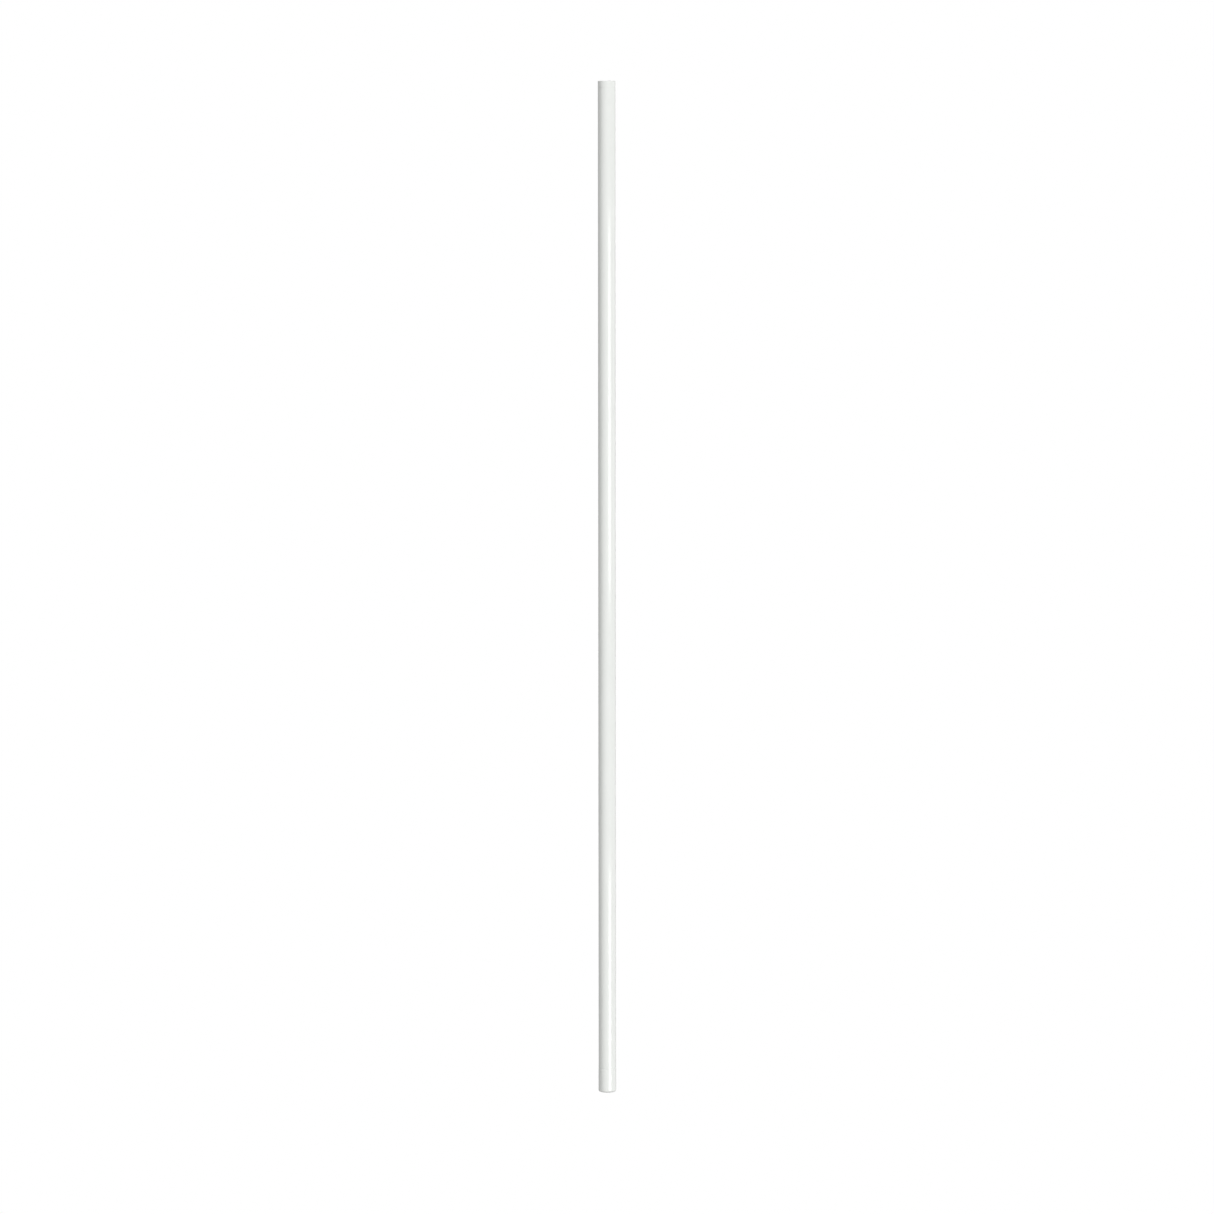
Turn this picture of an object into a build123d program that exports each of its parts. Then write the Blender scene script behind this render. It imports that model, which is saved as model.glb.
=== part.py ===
from build123d import *
from math import radians, sqrt, tan
import os

# White cane of the rigid, one-piece kind: an aluminium tube in a white shrink
# sleeve, a plug cap at the top and a screw-in pencil tip at the bottom.
# Millimetres. +Z runs up the cane's axis, and the origin is the tip's lowest point.

# Whole cane
CANE_LENGTH = 1100.0        # lowest point of the tip to the flat top of the cap
TUBE_DIAMETER = 18.0
TUBE_WALL = 1.0
SLEEVE_WALL = 0.45

# Top cap: a flush head and a ribbed, hollow shank pushed into the tube
CAP_HEAD_HEIGHT = 7.0
CAP_EDGE_RADIUS = 0.5
CAP_TOP_THICKNESS = 3.5
CAP_SHANK_LENGTH = 24.0
CAP_SHANK_GAP = 0.5         # between the shank's wall and the tube's bore
CAP_SHANK_WALL = 1.8
CAP_RIB_COUNT = 6
CAP_RIB_WIDTH = 1.6
CAP_RIB_LEAD = 1.0          # chamfer that starts the ribs into the tube

# Cane tip: nylon, a hair wider than the sleeve
TIP_LENGTH = 26.0
TIP_STEP = 0.1              # how far it stands out past the sleeve
TIP_CORNER_RADIUS = 2.0
TIP_DOME_HEIGHT = 1.4       # rise of the ground face from its middle to its rim
TIP_SHOULDER_RADIUS = 0.3

# Washer between the tip's shoulder and the cane
WASHER_THICKNESS = 1.0
WASHER_BORE_GAP = 0.2       # around the thread
WASHER_EDGE_CHAMFER = 0.12

# M8 thread that holds the tip
THREAD_DIAMETER = 8.0
THREAD_PITCH = 1.25
THREAD_HALF_ANGLE = 30.0
THREAD_RADIAL_GAP = 0.19    # crest to root, inside and outside
THREAD_ROOT_SPARE = 0.02    # the insert's groove is cut this much past the thread's radius
THREAD_PITCH_LINE_DEPTH = 0.3248    # ISO metric, in pitches, below the thread's radius
THREAD_RIDGE_HEIGHT = 0.48    # of the insert's ridge, in pitches
THREAD_FLANK_GAP = 0.22     # along the axis, on each flank
THREAD_FLANK_POINTS = 6     # points that a flank's spiral runs through
STUD_REACH = 15.0           # how far the stud stands into the insert

# Stud: a knurled head moulded into the tip, a neck and the threaded shank
STUD_HEAD_DIAMETER = 12.0
STUD_HEAD_HEIGHT = 9.0
STUD_HEAD_COVER = 2.5       # nylon above the head
STUD_KNURL_COUNT = 24
STUD_KNURL_RADIUS = 0.45
STUD_GROOVE_WIDTH = 2.0
STUD_GROOVE_DEPTH = 0.9
STUD_NECK_GAP = 0.1         # neck and pilot under the thread's root
STUD_PILOT_LENGTH = 1.5     # plain end that starts the stud into the insert
STUD_PILOT_CHAMFER = 0.5

# Insert: threaded bush that closes the tube's lower end
INSERT_FLANGE = 1.5
INSERT_SPIGOT = 34.0        # length inside the tube
INSERT_GLUE_GAP = 0.03      # around the spigot
INSERT_TOP_CHAMFER = 1.0
INSERT_MOUTH_DEPTH = 0.8    # plain mouth below the thread
INSERT_MOUTH_CHAMFER = 0.3
INSERT_THREAD_SPARE = 2.5   # full thread past the stud's end
INSERT_RELIEF_LENGTH = 2.5  # plain groove that ends the thread
INSERT_RELIEF_GAP = 0.15    # outside the thread's root
GLUE_GROOVE_COUNT = 3
GLUE_GROOVE_WIDTH = 1.2
GLUE_GROOVE_DEPTH = 0.4
GLUE_GROOVE_PITCH = 4.0
GLUE_GROOVE_START = 3.0     # above the tube's mouth

# Spring pin across the tube and the insert's solid end
PIN_DIAMETER = 3.0
PIN_WALL = 0.6
PIN_SLOT = 0.8
PIN_RECESS = 0.25           # each end below the tube's surface
PIN_END_CHAMFER = 0.3
PIN_BELOW_INSERT_TOP = 6.5

# Radii
TUBE_RADIUS = TUBE_DIAMETER / 2
BORE_RADIUS = TUBE_RADIUS - TUBE_WALL
SLEEVE_RADIUS = TUBE_RADIUS + SLEEVE_WALL
TIP_RADIUS = SLEEVE_RADIUS + TIP_STEP
THREAD_RADIUS = THREAD_DIAMETER / 2
PITCH_RADIUS = THREAD_RADIUS - THREAD_PITCH_LINE_DEPTH * THREAD_PITCH
INSERT_MINOR_RADIUS = THREAD_RADIUS - THREAD_RIDGE_HEIGHT * THREAD_PITCH
INSERT_ROOT_RADIUS = THREAD_RADIUS + THREAD_ROOT_SPARE
STUD_ROOT_RADIUS = INSERT_MINOR_RADIUS - THREAD_RADIAL_GAP
STUD_CREST_RADIUS = INSERT_ROOT_RADIUS - THREAD_RADIAL_GAP
STUD_NECK_RADIUS = STUD_ROOT_RADIUS - STUD_NECK_GAP

# Heights, from the ground up
INSERT_MOUTH_Z = TIP_LENGTH + WASHER_THICKNESS
TUBE_MOUTH_Z = INSERT_MOUTH_Z + INSERT_FLANGE
THREAD_LOW_Z = INSERT_MOUTH_Z + INSERT_MOUTH_DEPTH
STUD_TOP_Z = INSERT_MOUTH_Z + STUD_REACH
THREAD_HIGH_Z = STUD_TOP_Z + INSERT_THREAD_SPARE
INSERT_TOP_Z = TUBE_MOUTH_Z + INSERT_SPIGOT
PIN_Z = INSERT_TOP_Z - PIN_BELOW_INSERT_TOP
CAP_SEAT_Z = CANE_LENGTH - CAP_HEAD_HEIGHT

CUT_SPARE = 1.0             # how far a cutter runs past the face it opens
THREAD_OVERRUN = 0.1        # how far a tap runs into the plain ends of its hole


def rod(radius, z_low, z_high):
    """A cylinder on the cane's axis."""
    at_base = (Align.CENTER, Align.CENTER, Align.MIN)
    return Pos(0, 0, z_low) * Cylinder(radius, z_high - z_low, align=at_base)


def ring(outer_radius, inner_radius, z_low, z_high):
    """A plain tube on the cane's axis."""
    return rod(outer_radius, z_low, z_high) - rod(inner_radius, z_low, z_high)


def top_edges(solid):
    return solid.edges().group_by(Axis.Z)[-1]


def bottom_edges(solid):
    return solid.edges().group_by(Axis.Z)[0]


def pin_hole():
    """Cutter for the cross hole that the spring pin fills."""
    return Pos(0, 0, PIN_Z) * Rot(0, 90, 0) * Cylinder(PIN_DIAMETER / 2, 2 * TUBE_DIAMETER)


def flank(from_radius, from_angle, to_radius, to_angle):
    """A spiral whose radius changes evenly with its angle."""
    points = []
    for point in range(THREAD_FLANK_POINTS):
        share = point / (THREAD_FLANK_POINTS - 1)
        radius = from_radius + share * (to_radius - from_radius)
        angle = from_angle + share * (to_angle - from_angle)
        points.append(Vector(radius, 0).rotate(Axis.Z, angle))
    return Spline(points)


def arc(radius, from_angle, to_angle):
    """A round stretch of a thread's section, about the cane's axis."""
    angles = [from_angle, (from_angle + to_angle) / 2, to_angle]
    return ThreePointArc(*[Vector(radius, 0).rotate(Axis.Z, angle) for angle in angles])


def threaded_rod(root_radius, crest_radius, pitch_line_width, z_low, z_high):
    """A right-hand thread, as a twisted prism of its own cross-section.

    Every thread's ridge passes the +X side at the height of the tip's shoulder,
    give or take whole turns, so a stud and its insert are always in mesh.
    """
    slope = 2 * tan(radians(THREAD_HALF_ANGLE))
    crest_width = pitch_line_width - slope * (crest_radius - PITCH_RADIUS)
    root_width = pitch_line_width + slope * (PITCH_RADIUS - root_radius)
    degrees_per_mm = 360 / THREAD_PITCH
    half_crest = degrees_per_mm * crest_width / 2
    half_root = degrees_per_mm * root_width / 2
    ridge = degrees_per_mm * (z_low - TIP_LENGTH)
    section = make_face([
        arc(crest_radius, ridge - half_crest, ridge + half_crest),
        flank(crest_radius, ridge + half_crest, root_radius, ridge + half_root),
        arc(root_radius, ridge + half_root, ridge + 360 - half_root),
        flank(root_radius, ridge - half_root, crest_radius, ridge - half_crest),
    ])
    base = (Pos(0, 0, z_low) * section).face()
    height = z_high - z_low
    return Solid.extrude_linear_with_rotation(
        base, (0, 0, z_low), (0, 0, height), height * degrees_per_mm
    )


def shaft_tube():
    tube = ring(TUBE_RADIUS, BORE_RADIUS, TUBE_MOUTH_Z, CAP_SEAT_Z)
    return tube - pin_hole()


def white_sleeve():
    return ring(SLEEVE_RADIUS, TUBE_RADIUS, INSERT_MOUTH_Z, CAP_SEAT_Z)


def top_cap():
    head = rod(SLEEVE_RADIUS, CAP_SEAT_Z, CANE_LENGTH)
    head = fillet(top_edges(head), CAP_EDGE_RADIUS)

    shank_low = CAP_SEAT_Z - CAP_SHANK_LENGTH
    shank_radius = BORE_RADIUS - CAP_SHANK_GAP
    shank = rod(shank_radius, shank_low, CAP_SEAT_Z)

    # The crush ribs reach the bore exactly, and their lower ends are chamfered.
    rib_room = rod(BORE_RADIUS, shank_low, CAP_SEAT_Z)
    rib_room = chamfer(bottom_edges(rib_room), CAP_RIB_LEAD)
    rib_blank = Box(2 * BORE_RADIUS, CAP_RIB_WIDTH, CAP_SHANK_LENGTH)
    for rib in range(CAP_RIB_COUNT // 2):
        turned = Rot(0, 0, rib * 360 / CAP_RIB_COUNT) * rib_blank
        shank += rib_room & (Pos(0, 0, (shank_low + CAP_SEAT_Z) / 2) * turned)

    hollow_radius = shank_radius - CAP_SHANK_WALL
    hollow = rod(hollow_radius, shank_low - CUT_SPARE, CANE_LENGTH - CAP_TOP_THICKNESS)
    return head + shank - hollow


def tip_insert():
    flange = rod(TUBE_RADIUS, INSERT_MOUTH_Z, TUBE_MOUTH_Z)
    spigot_radius = BORE_RADIUS - INSERT_GLUE_GAP
    spigot = rod(spigot_radius, TUBE_MOUTH_Z, INSERT_TOP_Z)
    spigot = chamfer(top_edges(spigot), INSERT_TOP_CHAMFER)
    insert = flange + spigot

    for groove in range(GLUE_GROOVE_COUNT):
        z_low = TUBE_MOUTH_Z + GLUE_GROOVE_START + groove * GLUE_GROOVE_PITCH
        floor_radius = spigot_radius - GLUE_GROOVE_DEPTH
        insert -= ring(TUBE_RADIUS, floor_radius, z_low, z_low + GLUE_GROOVE_WIDTH)

    # Plain mouth, tapped stretch and end relief of the blind hole.
    relief_radius = INSERT_ROOT_RADIUS + INSERT_RELIEF_GAP
    insert -= rod(relief_radius, INSERT_MOUTH_Z - CUT_SPARE, THREAD_LOW_Z)
    insert -= rod(relief_radius, THREAD_HIGH_Z, THREAD_HIGH_Z + INSERT_RELIEF_LENGTH)
    insert -= threaded_rod(
        INSERT_MINOR_RADIUS, INSERT_ROOT_RADIUS, THREAD_PITCH / 2 + THREAD_FLANK_GAP,
        THREAD_LOW_Z - THREAD_OVERRUN, THREAD_HIGH_Z + THREAD_OVERRUN,
    )
    mouth_edge = Cone(relief_radius + INSERT_MOUTH_CHAMFER, relief_radius, INSERT_MOUTH_CHAMFER)
    insert -= Pos(0, 0, INSERT_MOUTH_Z + INSERT_MOUTH_CHAMFER / 2) * mouth_edge
    return insert - pin_hole()


def insert_pin():
    length = TUBE_DIAMETER - 2 * PIN_RECESS
    pin = Cylinder(PIN_DIAMETER / 2, length)
    pin = chamfer(top_edges(pin) + bottom_edges(pin), PIN_END_CHAMFER)
    pin -= Cylinder(PIN_DIAMETER / 2 - PIN_WALL, length)
    pin -= Pos(PIN_DIAMETER / 2, 0, 0) * Box(PIN_DIAMETER, PIN_SLOT, length)
    return Pos(0, 0, PIN_Z) * Rot(0, 90, 0) * pin


def tip_washer():
    bore_radius = THREAD_RADIUS + WASHER_BORE_GAP
    washer = ring(SLEEVE_RADIUS, bore_radius, TIP_LENGTH, INSERT_MOUTH_Z)
    return chamfer(top_edges(washer) + bottom_edges(washer), WASHER_EDGE_CHAMFER)


def stud_head_and_neck():
    """The part of the stud that the nylon grips, and the bare neck above it."""
    head_high = TIP_LENGTH - STUD_HEAD_COVER
    head_low = head_high - STUD_HEAD_HEIGHT
    head_radius = STUD_HEAD_DIAMETER / 2
    head = rod(head_radius, head_low, head_high)
    flute = rod(STUD_KNURL_RADIUS, head_low - CUT_SPARE, head_high + CUT_SPARE)
    for step in range(STUD_KNURL_COUNT):
        head -= Rot(0, 0, step * 360 / STUD_KNURL_COUNT) * Pos(head_radius, 0, 0) * flute
    middle = (head_low + head_high) / 2
    groove_low = middle - STUD_GROOVE_WIDTH / 2
    groove_high = middle + STUD_GROOVE_WIDTH / 2
    head -= ring(STUD_HEAD_DIAMETER, head_radius - STUD_GROOVE_DEPTH, groove_low, groove_high)
    return head + rod(STUD_NECK_RADIUS, head_high, THREAD_LOW_Z)


def tip_stud():
    thread_top = STUD_TOP_Z - STUD_PILOT_LENGTH
    thread = threaded_rod(
        STUD_ROOT_RADIUS, STUD_CREST_RADIUS, THREAD_PITCH / 2 - THREAD_FLANK_GAP,
        THREAD_LOW_Z, thread_top,
    )
    pilot = rod(STUD_NECK_RADIUS, thread_top, STUD_TOP_Z)
    pilot = chamfer(top_edges(pilot), STUD_PILOT_CHAMFER)
    return stud_head_and_neck() + thread + pilot


def cane_tip():
    """A blunt cylinder whose ground face is a shallow part of a sphere."""
    ball_radius = (TIP_RADIUS**2 + TIP_DOME_HEIGHT**2) / (2 * TIP_DOME_HEIGHT)
    half_way = TIP_RADIUS / 2
    half_way_rise = ball_radius - sqrt(ball_radius**2 - half_way**2)
    outline = [
        ThreePointArc((0, 0), (half_way, half_way_rise), (TIP_RADIUS, TIP_DOME_HEIGHT)),
        Line((TIP_RADIUS, TIP_DOME_HEIGHT), (TIP_RADIUS, TIP_LENGTH)),
        Line((TIP_RADIUS, TIP_LENGTH), (0, TIP_LENGTH)),
        Line((0, TIP_LENGTH), (0, 0)),
    ]
    half_section = make_face(outline)
    outer_corners = half_section.vertices().group_by(Axis.X)[-1].sort_by(Axis.Y)
    half_section = fillet(outer_corners[0], TIP_CORNER_RADIUS)
    shoulder_corner = half_section.vertices().group_by(Axis.Y)[-1].sort_by(Axis.X)[-1]
    half_section = fillet(shoulder_corner, TIP_SHOULDER_RADIUS)
    tip = revolve(Plane.XZ * half_section, Axis.Z)
    return tip - stud_head_and_neck()


NODES = {
    "top_cap": top_cap,
    "shaft_tube": shaft_tube,
    "white_sleeve": white_sleeve,
    "tip_insert": tip_insert,
    "insert_pin": insert_pin,
    "tip_washer": tip_washer,
    "tip_stud": tip_stud,
    "cane_tip": cane_tip,
}

os.makedirs("parts", exist_ok=True)
for name, make in NODES.items():
    export_step(make(), f"parts/{name}.step")
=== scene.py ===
from math import asin, cos, exp, pi, radians, sin, tan

import bpy
from mathutils import Matrix, Vector, noise


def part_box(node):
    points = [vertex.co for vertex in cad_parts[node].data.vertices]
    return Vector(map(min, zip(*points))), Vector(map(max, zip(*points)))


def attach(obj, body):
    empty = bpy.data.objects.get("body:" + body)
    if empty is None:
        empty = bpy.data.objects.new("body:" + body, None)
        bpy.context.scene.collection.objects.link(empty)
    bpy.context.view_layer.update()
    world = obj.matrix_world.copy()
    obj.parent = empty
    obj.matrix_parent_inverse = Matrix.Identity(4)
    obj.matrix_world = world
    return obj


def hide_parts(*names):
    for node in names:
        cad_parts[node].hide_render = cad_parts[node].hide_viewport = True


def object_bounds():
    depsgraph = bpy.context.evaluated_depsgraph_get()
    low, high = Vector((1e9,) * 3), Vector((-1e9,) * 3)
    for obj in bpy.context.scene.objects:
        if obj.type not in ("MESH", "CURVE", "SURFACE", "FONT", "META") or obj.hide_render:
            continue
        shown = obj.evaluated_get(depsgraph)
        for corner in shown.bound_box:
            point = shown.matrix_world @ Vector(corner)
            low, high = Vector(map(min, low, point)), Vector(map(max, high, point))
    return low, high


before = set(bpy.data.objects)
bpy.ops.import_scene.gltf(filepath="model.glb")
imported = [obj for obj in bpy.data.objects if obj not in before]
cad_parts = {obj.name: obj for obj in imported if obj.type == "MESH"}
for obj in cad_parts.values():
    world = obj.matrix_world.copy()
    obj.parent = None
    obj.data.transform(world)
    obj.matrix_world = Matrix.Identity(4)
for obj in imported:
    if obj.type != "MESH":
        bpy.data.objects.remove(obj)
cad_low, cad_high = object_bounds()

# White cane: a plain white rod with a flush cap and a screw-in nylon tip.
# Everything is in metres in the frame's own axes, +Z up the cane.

MM = 0.001

# Camera: a long lens in front of the cane, almost level, with a little roll
CAMERA_DISTANCE = 6.0
CAMERA_ELEVATION = radians(4.5)
CAMERA_ROLL = radians(-0.045)
CAMERA_SENSOR = 36.0            # millimetres
CANE_SHARE_OF_FRAME = 0.8326    # the cane's length over the frame's height
CANE_ABOVE_CENTRE = 0.0139      # its middle above the frame's, over the frame's height

# Floor
FLOOR_SIZE = 60.0
FLOOR_DROP = 20 * MM            # room for the tip to come down as it unscrews

# Light. Azimuths and elevations are in degrees: azimuth 0 is at the camera, + to the right
AMBIENT = 0.20
SUN_SOFTNESS = radians(25)
SUNS = [    # name, azimuth, elevation, strength
    ("key", 40, 18, 2.75),
    ("side_fill", -53, 10, 1.2),
    ("rim_fill", 118, 10, 0.5),
    ("back_fill", 185, 30, 3.0),
    ("floor_bounce", 0, -90, 0.9),
]
STRIP_AZIMUTH = 36
STRIP_WIDTH_ANGLE = 34          # degrees, as the cane sees it
STRIP_RADIANCE = 4.2
STRIPS = [    # name, height of the lower and upper end, distance from the cane
    ("upper_strip", 0.497, 0.944, 0.6),
    ("lower_strip", -0.2, 0.200, 0.35),
]

# Turned pieces
SEGMENTS = 96
LINE_SAMPLES = (-2, -1.3, -0.8, -0.4, 0, 0.4, 0.8, 1.3, 2)    # across a line, in its widths
CORNER_STEPS = 5                # faces across a small rounded corner
SMOOTH_UNDER = radians(35)      # sharper profile corners keep a hard edge
HIDDEN_GAP = 0.03 * MM          # between pieces that touch out of sight

# Sleeve and tube
SLEEVE_RING_SPACING = 4 * MM
SLEEVE_LIP = 0.20 * MM          # rounding of the sleeve's cut ends
SLEEVE_WAVE = 0.014 * MM        # unevenness left by shrinking
SLEEVE_WAVE_INWARDS = 0.5       # moves the wave inwards, as a share of its height
SLEEVE_WAVE_LENGTH = 26 * MM
DIE_LINE = 0.03 * MM            # lengthwise line left on the sleeve, at the back
DIE_LINE_WIDTH = 0.22 * MM
TUBE_WALL = 1.0 * MM
DRILL_SIDES = 32

# Tip
TIP_DOME = 1.4 * MM
DOME_RINGS = 12
TIP_CORNER = 2.0 * MM
TIP_CORNER_STEPS = 10
TIP_SHOULDER = 0.3 * MM
SIDE_RING_SPACING = 1.0 * MM    # on the tip's and the cap's side
TIP_LINE = 0.05 * MM            # the mould's parting line on the tip's two sides
TIP_LINE_WIDTH = 0.13 * MM
STUD_HEAD_HEIGHT = 9.0 * MM
STUD_NECK = 3.14 * MM           # radius of the hole that the stud's neck stands in

# Cap
CAP_EDGE = 0.5 * MM
CAP_EDGE_STEPS = 8
CAP_SEAM = 0.15 * MM            # softened edge where the head meets the sleeve
CAP_TOP = 3.5 * MM
CAP_SHANK_GAP = 0.5 * MM
CAP_SHANK_WALL = 1.8 * MM
CAP_RIB_COUNT = 6
CAP_RIB_HALF_WIDTH = 0.8 * MM
CAP_RIB_LEAD = 1.0 * MM
GATE_RADIUS = 1.3 * MM          # mark of the mould's gate
GATE_DEPTH = 0.12 * MM
NIB_RADIUS = 0.4 * MM
NIB_HEIGHT = 0.1 * MM

# Finishes
CANE_WHITE = (0.80, 0.817, 0.793)
SCUFFED_WHITE = (0.66, 0.655, 0.63)
SCUFF_FULL_HEIGHT = 0.2 * MM    # below this the tip's wear is at its heaviest
SCUFF_HEIGHT = 3.2 * MM         # how far up the tip its wear reaches
SCUFF_ROUGHNESS = 0.4           # added where the tip is worn
SCUFF_RELIEF = 0.03 * MM
MOULD_TEXTURE_SHARE = 0.08      # of the tip's relief
NOISE_LOW = 0.3                 # most of a noise texture's values lie between these two
NOISE_HIGH = 0.7
FACING_GLOSS = 0.5              # white plastic's specular level, seen face on
GRAZING_GLOSS = 0.06            # and along its edges


# ---------------------------------------------------------------- mesh making

def angles_round(lines):
    """Evenly spaced angles, with extra ones close to each lengthwise line."""
    angles = [2 * pi * step / SEGMENTS for step in range(SEGMENTS)]
    for place, width, radius in lines:
        for share in LINE_SAMPLES:
            angles.append((place + share * width / radius) % (2 * pi))
    return sorted(set(angles))


def lathe(name, profile, displace=None, lines=()):
    """Turns a closed profile of (radius, z) points into a solid ring or plug.

    displace(angle, radius, z) gives how far an outside point stands out.
    A point with radius 0 becomes a single point on the axis.
    """
    angles = angles_round(lines)
    vertices = []
    rings = []
    for radius, z in profile:
        if radius == 0:
            rings.append([len(vertices)] * len(angles))
            vertices.append((0, 0, z))
            continue
        ring = []
        for angle in angles:
            out = radius + (displace(angle, radius, z) if displace else 0)
            ring.append(len(vertices))
            vertices.append((out * cos(angle), out * sin(angle), z))
        rings.append(ring)
    faces = []
    for this, following in zip(rings, rings[1:] + rings[:1]):
        for step in range(len(angles)):
            after = (step + 1) % len(angles)
            corners = [this[step], this[after], following[after], following[step]]
            distinct = list(dict.fromkeys(corners))
            if len(distinct) > 2:
                faces.append(distinct)
    mesh = bpy.data.meshes.new(name)
    mesh.from_pydata(vertices, [], faces)
    mesh.validate()
    mesh.shade_smooth()
    mark_sharp_rings(mesh, profile, rings)
    piece = bpy.data.objects.new(name, mesh)
    bpy.context.scene.collection.objects.link(piece)
    return piece


def mark_sharp_rings(mesh, profile, rings):
    """Hard edges where the profile turns sharply, smooth shading elsewhere."""
    sharp_pairs = set()
    count = len(profile)
    for place, ring in enumerate(rings):
        before = Vector(profile[place]) - Vector(profile[place - 1])
        after = Vector(profile[(place + 1) % count]) - Vector(profile[place])
        if before.length and after.length and before.angle(after) > SMOOTH_UNDER:
            for first, second in zip(ring, ring[1:] + ring[:1]):
                sharp_pairs.add(frozenset((first, second)))
    for edge in mesh.edges:
        if frozenset(edge.vertices) in sharp_pairs:
            edge.use_edge_sharp = True


def round_corner(centre_radius, centre_z, radius, start, end, steps=CORNER_STEPS):
    """Points along a rounded corner of a profile, angles from +radius towards +Z."""
    points = []
    for step in range(steps + 1):
        angle = start + (end - start) * step / steps
        points.append((centre_radius + radius * cos(angle), centre_z + radius * sin(angle)))
    return points


def straight(radius, z_from, z_to, spacing):
    """Points up or down a straight side, at about the spacing, ends left out."""
    count = max(1, round(abs(z_to - z_from) / spacing))
    return [(radius, z_from + (z_to - z_from) * step / count) for step in range(1, count)]


def bump_at(angle, place, width, radius):
    """Height share of a narrow lengthwise line at one angle."""
    apart = (angle - place + pi) % (2 * pi) - pi
    return exp(-(apart * radius / width) ** 2)


def cut_through(piece, radius, length, z):
    """Drills a round hole along X, right across a piece."""
    drill = bpy.data.meshes.new("drill")
    sides = DRILL_SIDES
    vertices = []
    for x in (-length / 2, length / 2):
        for step in range(sides):
            angle = 2 * pi * step / sides
            vertices.append((x, radius * cos(angle), z + radius * sin(angle)))
    faces = [list(range(sides))[::-1], list(range(sides, 2 * sides))]
    for step in range(sides):
        after = (step + 1) % sides
        faces.append([step, after, sides + after, sides + step])
    drill.from_pydata(vertices, [], faces)
    cutter = bpy.data.objects.new("drill", drill)
    bpy.context.scene.collection.objects.link(cutter)
    cut = piece.modifiers.new("pin hole", "BOOLEAN")
    cut.operation = "DIFFERENCE"
    cut.object = cutter
    bpy.context.view_layer.update()
    evaluated = piece.evaluated_get(bpy.context.evaluated_depsgraph_get())
    drilled = bpy.data.meshes.new_from_object(evaluated)
    piece.modifiers.clear()
    piece.data = drilled
    bpy.data.meshes.remove(drill)


# -------------------------------------------------------------------- pieces

def radius_of(node):
    """Outer radius of a round CAD node that stands on the cane's axis."""
    low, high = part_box(node)
    return (high.x - low.x) / 2


def make_sleeve():
    """White shrink sleeve: thin, slightly uneven, with rounded cut ends."""
    low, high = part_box("white_sleeve")
    outer = radius_of("white_sleeve")
    inner = radius_of("shaft_tube")
    lip = SLEEVE_LIP
    profile = [(inner, low.z)]
    profile += round_corner(outer - lip, low.z + lip, lip, -pi / 2, 0)
    profile += straight(outer, low.z + lip, high.z - lip, SLEEVE_RING_SPACING)
    profile += round_corner(outer - lip, high.z - lip, lip, 0, pi / 2)
    profile += [(inner, high.z)]
    back = pi / 2

    def uneven(angle, radius, z):
        if radius < outer - lip:
            return 0
        end_fade = min(1, (z - low.z) / SLEEVE_WAVE_LENGTH, (high.z - z) / SLEEVE_WAVE_LENGTH)
        at = Vector((cos(angle), sin(angle), z / SLEEVE_WAVE_LENGTH))
        wave = SLEEVE_WAVE * (noise.noise(at) - SLEEVE_WAVE_INWARDS) * end_fade
        return wave + DIE_LINE * bump_at(angle, back, DIE_LINE_WIDTH, outer) * end_fade

    sleeve = lathe("sleeve", profile, uneven, [(back, DIE_LINE_WIDTH, outer)])
    finish_piece(sleeve, "cane", "white_sleeve", sleeve_film())


def make_tube():
    """Drawn aluminium tube under the sleeve, with the pin's cross hole."""
    low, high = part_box("shaft_tube")
    outer = radius_of("shaft_tube")
    inner = outer - TUBE_WALL
    profile = [(inner, low.z), (outer, low.z), (outer, high.z), (inner, high.z)]
    tube = lathe("tube", profile)
    pin_low, pin_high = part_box("insert_pin")
    pin_z = (pin_low.z + pin_high.z) / 2
    hole = (pin_high.y - pin_low.y) / 2 + HIDDEN_GAP
    cut_through(tube, hole, length=3 * outer, z=pin_z)
    finish_piece(tube, "cane", "shaft_tube", drawn_aluminium())


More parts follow.
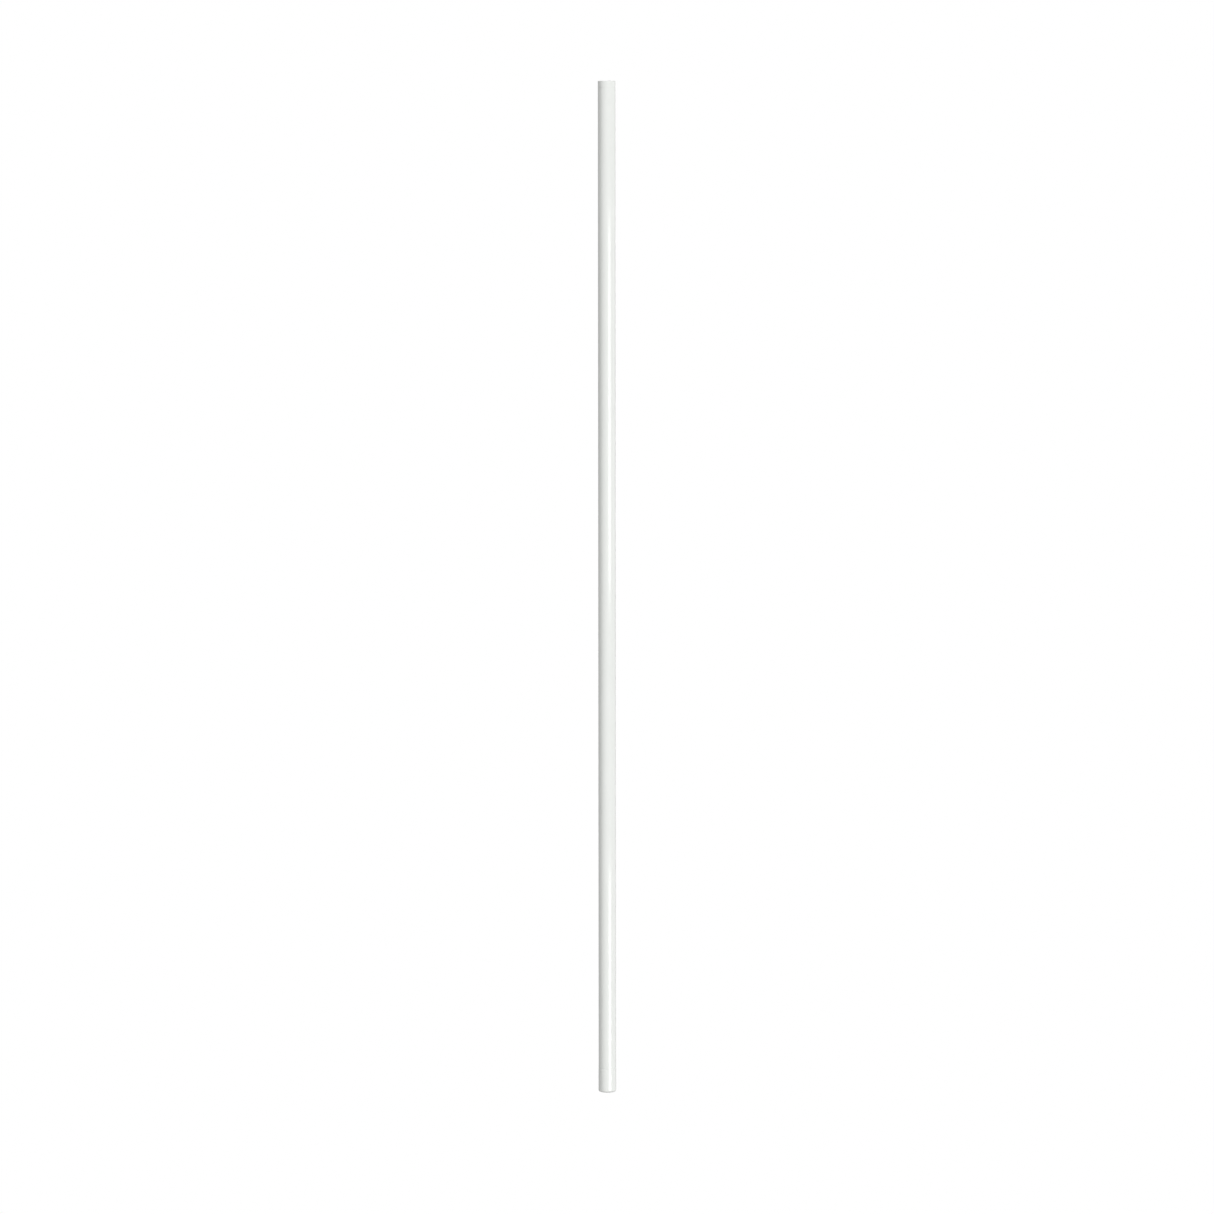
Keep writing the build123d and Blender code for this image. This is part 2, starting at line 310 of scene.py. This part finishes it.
def make_tip():
    """Nylon tip: domed ground face, parting lines, and a cavity for the stud's head."""
    low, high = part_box("cane_tip")
    outer = radius_of("cane_tip")
    head_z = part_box("tip_stud")[0].z
    cavity = radius_of("tip_stud") + HIDDEN_GAP
    cavity_low = head_z - HIDDEN_GAP
    cavity_high = head_z + STUD_HEAD_HEIGHT + HIDDEN_GAP
    side_high = high.z - TIP_SHOULDER

    # The corner's circle touches the dome's sphere and the side
    dome_radius = (outer ** 2 + TIP_DOME ** 2) / (2 * TIP_DOME)
    corner_radius = outer - TIP_CORNER
    lean = asin(corner_radius / (dome_radius - TIP_CORNER))
    corner_z = low.z + dome_radius - (dome_radius - TIP_CORNER) * cos(lean)

    # The dome, corner, side and shoulder, then down inside
    profile = [(0, low.z)]
    for step in range(1, DOME_RINGS):
        turn = lean * step / DOME_RINGS
        profile.append((dome_radius * sin(turn), low.z + dome_radius * (1 - cos(turn))))
    profile += round_corner(corner_radius, corner_z, TIP_CORNER, lean - pi / 2, 0,
                            TIP_CORNER_STEPS)
    profile += straight(outer, corner_z, side_high, SIDE_RING_SPACING)
    profile += round_corner(outer - TIP_SHOULDER, side_high, TIP_SHOULDER, 0, pi / 2)
    profile += [(STUD_NECK, high.z), (STUD_NECK, cavity_high), (cavity, cavity_high)]
    profile += [(cavity, cavity_low), (0, cavity_low)]

    def parting_lines(angle, radius, z):
        fade = min(1, (z - corner_z) / TIP_CORNER, (side_high - z) / TIP_CORNER)
        if radius < outer or fade <= 0:
            return 0
        right = bump_at(angle, 0, TIP_LINE_WIDTH, outer)
        left = bump_at(angle, pi, TIP_LINE_WIDTH, outer)
        return TIP_LINE * fade * (right + left)

    lines = [(0, TIP_LINE_WIDTH, outer), (pi, TIP_LINE_WIDTH, outer)]
    tip = lathe("tip", profile, parting_lines, lines)
    finish_piece(tip, "tip", "cane_tip", tip_nylon())


def make_cap():
    """Push-in cap: a flush head, a ribbed shank, and the mould gate's mark on top."""
    low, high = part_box("top_cap")
    outer = radius_of("top_cap")
    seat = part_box("white_sleeve")[1].z
    bore = radius_of("shaft_tube") - TUBE_WALL
    shank = bore - CAP_SHANK_GAP
    hollow = shank - CAP_SHANK_WALL
    hollow_top = high.z - CAP_TOP
    gate_floor = high.z - GATE_DEPTH

    profile = [(hollow, low.z), (shank, low.z), (shank, low.z + CAP_RIB_LEAD), (shank, seat)]
    profile += round_corner(outer - CAP_SEAM, seat + CAP_SEAM, CAP_SEAM, -pi / 2, 0)
    profile += straight(outer, seat + CAP_SEAM, high.z - CAP_EDGE, SIDE_RING_SPACING)
    profile += round_corner(outer - CAP_EDGE, high.z - CAP_EDGE, CAP_EDGE, 0, pi / 2, CAP_EDGE_STEPS)
    profile += [(GATE_RADIUS, high.z), (GATE_RADIUS - GATE_DEPTH, gate_floor)]
    profile += [(NIB_RADIUS, gate_floor), (NIB_RADIUS / 2, gate_floor + NIB_HEIGHT)]
    profile += [(0, gate_floor + NIB_HEIGHT), (0, hollow_top), (hollow, hollow_top)]
    rib_angles = [2 * pi * rib / CAP_RIB_COUNT for rib in range(CAP_RIB_COUNT)]

    def ribs(angle, radius, z):
        if radius != shank or z < low.z + CAP_RIB_LEAD / 2:
            return 0
        for place in rib_angles:
            apart = abs((angle - place + pi) % (2 * pi) - pi)
            if apart * radius < CAP_RIB_HALF_WIDTH:
                return CAP_SHANK_GAP - HIDDEN_GAP
        return 0

    lines = [(place, CAP_RIB_HALF_WIDTH, shank) for place in rib_angles]
    cap = lathe("cap", profile, ribs, lines)
    finish_piece(cap, "cane", "top_cap", cap_plastic())


def finish_piece(piece, body, node, material):
    """Gives a piece its material, and puts it in a CAD node's place."""
    piece.data.materials.clear()
    piece.data.materials.append(material)
    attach(piece, body)
    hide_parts(node)


# ----------------------------------------------------------------- materials

def new_material(name, colour, roughness, metallic=0.0):
    """A material with its constants on the shader's own sockets."""
    material = bpy.data.materials.new(name)
    material.use_nodes = True
    shader = material.node_tree.nodes["Principled BSDF"]
    shader.inputs["Base Color"].default_value = (*colour, 1)
    shader.inputs["Roughness"].default_value = roughness
    shader.inputs["Metallic"].default_value = metallic
    return material, shader


def feed(material, socket, source):
    """Gives a socket a number, a colour or another node's output."""
    if isinstance(source, (int, float)):
        socket.default_value = source
    elif isinstance(source, tuple):
        socket.default_value = (*source, 1)
    else:
        material.node_tree.links.new(source, socket)


def object_noise(material, scale, detail=4.0, stretch=(1, 1, 1)):
    """Noise in the piece's own metres. scale is in features per metre."""
    nodes = material.node_tree.nodes
    place = nodes.new("ShaderNodeTexCoord")
    mapping = nodes.new("ShaderNodeMapping")
    mapping.inputs["Scale"].default_value = stretch
    texture = nodes.new("ShaderNodeTexNoise")
    texture.inputs["Scale"].default_value = scale
    texture.inputs["Detail"].default_value = detail
    feed(material, mapping.inputs["Vector"], place.outputs["Object"])
    feed(material, texture.inputs["Vector"], mapping.outputs["Vector"])
    return texture.outputs["Fac"]


def spread(material, value, low, high, out_low, out_high):
    """Maps a noise value to a new range, held at its ends."""
    node = material.node_tree.nodes.new("ShaderNodeMapRange")
    node.inputs["From Min"].default_value = low
    node.inputs["From Max"].default_value = high
    node.inputs["To Min"].default_value = out_low
    node.inputs["To Max"].default_value = out_high
    feed(material, node.inputs["Value"], value)
    return node.outputs["Result"]


def vary_colour(material, shader, value, first, second):
    """Base colour between two shades, each a colour or a socket, by a value from 0 to 1."""
    mix = material.node_tree.nodes.new("ShaderNodeMix")
    mix.data_type = "RGBA"
    shades = [socket for socket in mix.inputs if socket.type == "RGBA"]
    feed(material, shades[0], first)
    feed(material, shades[1], second)
    feed(material, mix.inputs["Factor"], value)
    result = next(socket for socket in mix.outputs if socket.type == "RGBA")
    feed(material, shader.inputs["Base Color"], result)


def vary_roughness(material, shader, value, smooth, rough):
    """Roughness between two limits, by a noise value."""
    roughness = spread(material, value, NOISE_LOW, NOISE_HIGH, smooth, rough)
    feed(material, shader.inputs["Roughness"], roughness)


def height_above_ground(material):
    """Z in the piece's own metres."""
    nodes = material.node_tree.nodes
    place = nodes.new("ShaderNodeTexCoord")
    split = nodes.new("ShaderNodeSeparateXYZ")
    feed(material, split.inputs["Vector"], place.outputs["Object"])
    return split.outputs["Z"]


def math_node(material, operation, first, second):
    """One sum in a material. Each term is a socket or a number."""
    node = material.node_tree.nodes.new("ShaderNodeMath")
    node.operation = operation
    feed(material, node.inputs[0], first)
    feed(material, node.inputs[1], second)
    return node.outputs["Value"]


def add_bump(material, shader, height, strength, distance):
    """Fine relief in the shading. distance is how deep it is at full strength."""
    bump = material.node_tree.nodes.new("ShaderNodeBump")
    bump.inputs["Strength"].default_value = strength
    bump.inputs["Distance"].default_value = distance
    feed(material, bump.inputs["Height"], height)
    feed(material, shader.inputs["Normal"], bump.outputs["Normal"])


def dull_at_grazing(material, shader):
    """Weakens the mirror-like reflection that smooth plastic has along its edges."""
    facing = material.node_tree.nodes.new("ShaderNodeLayerWeight")
    facing.inputs["Blend"].default_value = 0.5
    turned = facing.outputs["Facing"]
    level = spread(material, turned, 0.25, 0.75, FACING_GLOSS, GRAZING_GLOSS)
    feed(material, shader.inputs["Specular IOR Level"], level)


def sleeve_film():
    """Glossy white film with a little orange peel and slow shade changes."""
    material, shader = new_material("sleeve_film", CANE_WHITE, 0.16)
    dull_at_grazing(material, shader)
    slow = object_noise(material, scale=14, detail=2)
    shade = spread(material, slow, NOISE_LOW, NOISE_HIGH, 0, 1)
    vary_colour(material, shader, shade, (0.792, 0.811, 0.786), (0.812, 0.828, 0.804))
    vary_roughness(material, shader, object_noise(material, scale=220), 0.13, 0.20)
    peel = object_noise(material, scale=900, detail=3, stretch=(1, 1, 0.4))
    add_bump(material, shader, peel, 0.12, 0.02 * MM)
    return material


def drawn_aluminium():
    """Fine lines along the tube, left by drawing."""
    material, shader = new_material("drawn_aluminium", (0.77, 0.78, 0.79), 0.35, 1.0)
    drawn = object_noise(material, scale=1400, detail=3, stretch=(1, 1, 0.01))
    vary_roughness(material, shader, drawn, 0.26, 0.46)
    add_bump(material, shader, drawn, 0.3, 0.01 * MM)
    return material


def moulded_white(name, colour, roughness):
    """Injection-moulded plastic: fine mould texture and faint flow shading."""
    material, shader = new_material(name, colour, roughness)
    dull_at_grazing(material, shader)
    flow = object_noise(material, scale=90, detail=3)
    shade = spread(material, flow, NOISE_LOW, NOISE_HIGH, 0, 1)
    paler = tuple(min(1, part * 1.015) for part in colour)
    vary_colour(material, shader, shade, colour, paler)
    texture = object_noise(material, scale=2600, detail=2)
    vary_roughness(material, shader, texture, roughness * 0.85, roughness * 1.2)
    return material, shader, texture


def cap_plastic():
    material, shader, texture = moulded_white("cap_plastic", CANE_WHITE, 0.24)
    add_bump(material, shader, texture, 0.1, 0.02 * MM)
    return material


def tip_nylon():
    """White nylon, glossy on its side and scuffed grey where it meets the ground."""
    material, shader, texture = moulded_white("tip_nylon", CANE_WHITE, 0.17)
    clean = shader.inputs["Base Color"].links[0].from_socket
    smooth = shader.inputs["Roughness"].links[0].from_socket

    # Wear grows towards the ground, and breaks up into patches and scratches
    z = height_above_ground(material)
    low = spread(material, z, SCUFF_FULL_HEIGHT, SCUFF_HEIGHT, 1, 0)
    streaks = object_noise(material, scale=700, detail=6, stretch=(1, 0.12, 1))
    scratches = math_node(material, "MULTIPLY", low, spread(material, streaks, 0.5, 0.66, 0, 1))
    blotches = object_noise(material, scale=450, detail=5)
    patches = math_node(material, "MULTIPLY", low, spread(material, blotches, 0.35, 0.6, 0.35, 1))
    wear = math_node(material, "MINIMUM", math_node(material, "ADD", patches, scratches), 1.0)
    vary_colour(material, shader, wear, clean, SCUFFED_WHITE)
    added = math_node(material, "MULTIPLY", wear, SCUFF_ROUGHNESS)
    feed(material, shader.inputs["Roughness"], math_node(material, "ADD", smooth, added))

    # Scratches go in, and the mould's texture shows faintly between them
    cuts = math_node(material, "MULTIPLY", scratches, -1)
    grain = math_node(material, "MULTIPLY", texture, MOULD_TEXTURE_SHARE)
    add_bump(material, shader, math_node(material, "ADD", cuts, grain), 1.0, SCUFF_RELIEF)
    return material


def washer_plastic():
    return moulded_white("washer_plastic", (0.79, 0.805, 0.785), 0.30)[0]


def turned_aluminium():
    """Fine rings left by the lathe."""
    material, shader = new_material("turned_aluminium", (0.80, 0.80, 0.81), 0.3, 1.0)
    rings = object_noise(material, scale=5000, detail=2, stretch=(0.02, 0.02, 1))
    vary_roughness(material, shader, rings, 0.22, 0.40)
    add_bump(material, shader, rings, 0.35, 0.01 * MM)
    return material


def spring_steel():
    """Dark steel with uneven oil on it."""
    material, shader = new_material("spring_steel", (0.20, 0.20, 0.22), 0.38, 1.0)
    vary_roughness(material, shader, object_noise(material, scale=900, detail=3), 0.28, 0.5)
    return material


def zinc_steel():
    """Zinc plating: bright, slightly blue, with cloudy spangle."""
    material, shader = new_material("zinc_steel", (0.70, 0.72, 0.75), 0.3, 1.0)
    cloud = object_noise(material, scale=500, detail=4)
    shade = spread(material, cloud, NOISE_LOW, NOISE_HIGH, 0, 1)
    vary_colour(material, shader, shade, (0.60, 0.62, 0.66), (0.76, 0.78, 0.80))
    vary_roughness(material, shader, object_noise(material, scale=700, detail=3), 0.22, 0.42)
    return material


def dress(node, material):
    """Puts a material on a CAD node that is shown as it is."""
    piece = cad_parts[node]
    piece.data.materials.clear()
    piece.data.materials.append(material)


# ----------------------------------------------------------- camera and light

def make_camera():
    """A long lens in front of the cane, looking slightly down at it."""
    middle = (cad_low + cad_high) / 2
    length = cad_high.z - cad_low.z
    frame_height = length * cos(CAMERA_ELEVATION) / CANE_SHARE_OF_FRAME
    aim = Vector((middle.x, middle.y, middle.z - CANE_ABOVE_CENTRE * frame_height))
    back = Vector((0, -cos(CAMERA_ELEVATION), sin(CAMERA_ELEVATION)))
    data = bpy.data.cameras.new("camera")
    data.sensor_width = CAMERA_SENSOR
    data.lens = CAMERA_SENSOR * CAMERA_DISTANCE / frame_height
    data.clip_end = FLOOR_SIZE
    camera = bpy.data.objects.new("camera", data)
    turn = (-back).to_track_quat("-Z", "Y").to_matrix().to_4x4()
    camera.matrix_world = (
        Matrix.Translation(aim + back * CAMERA_DISTANCE) @ turn @ Matrix.Rotation(CAMERA_ROLL, 4, "Z")
    )
    bpy.context.scene.collection.objects.link(camera)
    bpy.context.scene.camera = camera


def make_world():
    """Pure white behind the cane, and a dimmer even light all round it."""
    world = bpy.data.worlds.new("studio")
    world.use_nodes = True
    tree = world.node_tree
    tree.nodes.clear()
    path = tree.nodes.new("ShaderNodeLightPath")
    seen = tree.nodes.new("ShaderNodeBackground")
    seen.inputs["Color"].default_value = (1, 1, 1, 1)
    light = tree.nodes.new("ShaderNodeBackground")
    light.inputs["Color"].default_value = (AMBIENT, AMBIENT, AMBIENT, 1)
    mix = tree.nodes.new("ShaderNodeMixShader")
    out = tree.nodes.new("ShaderNodeOutputWorld")
    tree.links.new(path.outputs["Is Camera Ray"], mix.inputs[0])
    tree.links.new(light.outputs[0], mix.inputs[1])
    tree.links.new(seen.outputs[0], mix.inputs[2])
    tree.links.new(mix.outputs[0], out.inputs["Surface"])
    bpy.context.scene.world = world


def make_floor():
    """A plain white floor that only the camera sees, and only from above."""
    mesh = bpy.data.meshes.new("floor")
    half = FLOOR_SIZE / 2
    z = cad_low.z - FLOOR_DROP
    mesh.from_pydata([(-half, -half, z), (half, -half, z), (half, half, z), (-half, half, z)],
                     [], [(0, 1, 2, 3)])
    material = bpy.data.materials.new("floor_white")
    material.use_nodes = True
    tree = material.node_tree
    tree.nodes.clear()
    white = tree.nodes.new("ShaderNodeEmission")
    clear = tree.nodes.new("ShaderNodeBsdfTransparent")
    side = tree.nodes.new("ShaderNodeNewGeometry")
    mix = tree.nodes.new("ShaderNodeMixShader")
    out = tree.nodes.new("ShaderNodeOutputMaterial")
    tree.links.new(side.outputs["Backfacing"], mix.inputs[0])
    tree.links.new(white.outputs[0], mix.inputs[1])
    tree.links.new(clear.outputs[0], mix.inputs[2])
    tree.links.new(mix.outputs[0], out.inputs["Surface"])
    mesh.materials.append(material)
    floor = bpy.data.objects.new("floor", mesh)
    bpy.context.scene.collection.objects.link(floor)
    floor.visible_diffuse = False
    floor.visible_glossy = False
    floor.visible_shadow = False


def towards(azimuth, elevation):
    """Direction from the cane towards a light, from two angles in degrees."""
    azimuth = radians(azimuth)
    elevation = radians(elevation)
    return Vector((
        sin(azimuth) * cos(elevation),
        -cos(azimuth) * cos(elevation),
        sin(elevation),
    ))


def soft_sun(name, azimuth, elevation, strength):
    """Even, soft light that shades the cane but leaves no streak on its gloss."""
    data = bpy.data.lights.new(name, "SUN")
    data.energy = strength
    data.angle = SUN_SOFTNESS
    light = bpy.data.objects.new(name, data)
    light.rotation_mode = "QUATERNION"
    light.rotation_quaternion = towards(azimuth, elevation).to_track_quat("Z", "Y")
    light.visible_glossy = False
    bpy.context.scene.collection.objects.link(light)


def strip(name, z_low, z_high, distance):
    """An upright strip light that shows only as a streak in the gloss."""
    width = 2 * distance * tan(radians(STRIP_WIDTH_ANGLE) / 2)
    height = z_high - z_low
    data = bpy.data.lights.new(name, "AREA")
    data.shape = "RECTANGLE"
    data.size = width
    data.size_y = height
    data.energy = STRIP_RADIANCE * pi * width * height
    light = bpy.data.objects.new(name, data)
    direction = towards(STRIP_AZIMUTH, 0)
    light.location = direction * distance + Vector((0, 0, (z_low + z_high) / 2))
    light.rotation_mode = "QUATERNION"
    light.rotation_quaternion = direction.to_track_quat("Z", "Y")
    light.visible_diffuse = False
    light.visible_camera = False
    bpy.context.scene.collection.objects.link(light)


def make_lights():
    make_world()
    for name, azimuth, elevation, strength in SUNS:
        soft_sun(name, azimuth, elevation, strength)
    for name, z_low, z_high, distance in STRIPS:
        strip(name, z_low, z_high, distance)


make_camera()
make_floor()
make_lights()
make_sleeve()
make_tube()
make_cap()
make_tip()
dress("tip_washer", washer_plastic())
dress("tip_insert", turned_aluminium())
dress("insert_pin", spring_steel())
dress("tip_stud", zinc_steel())

bpy.context.scene.view_settings.view_transform = "Standard"
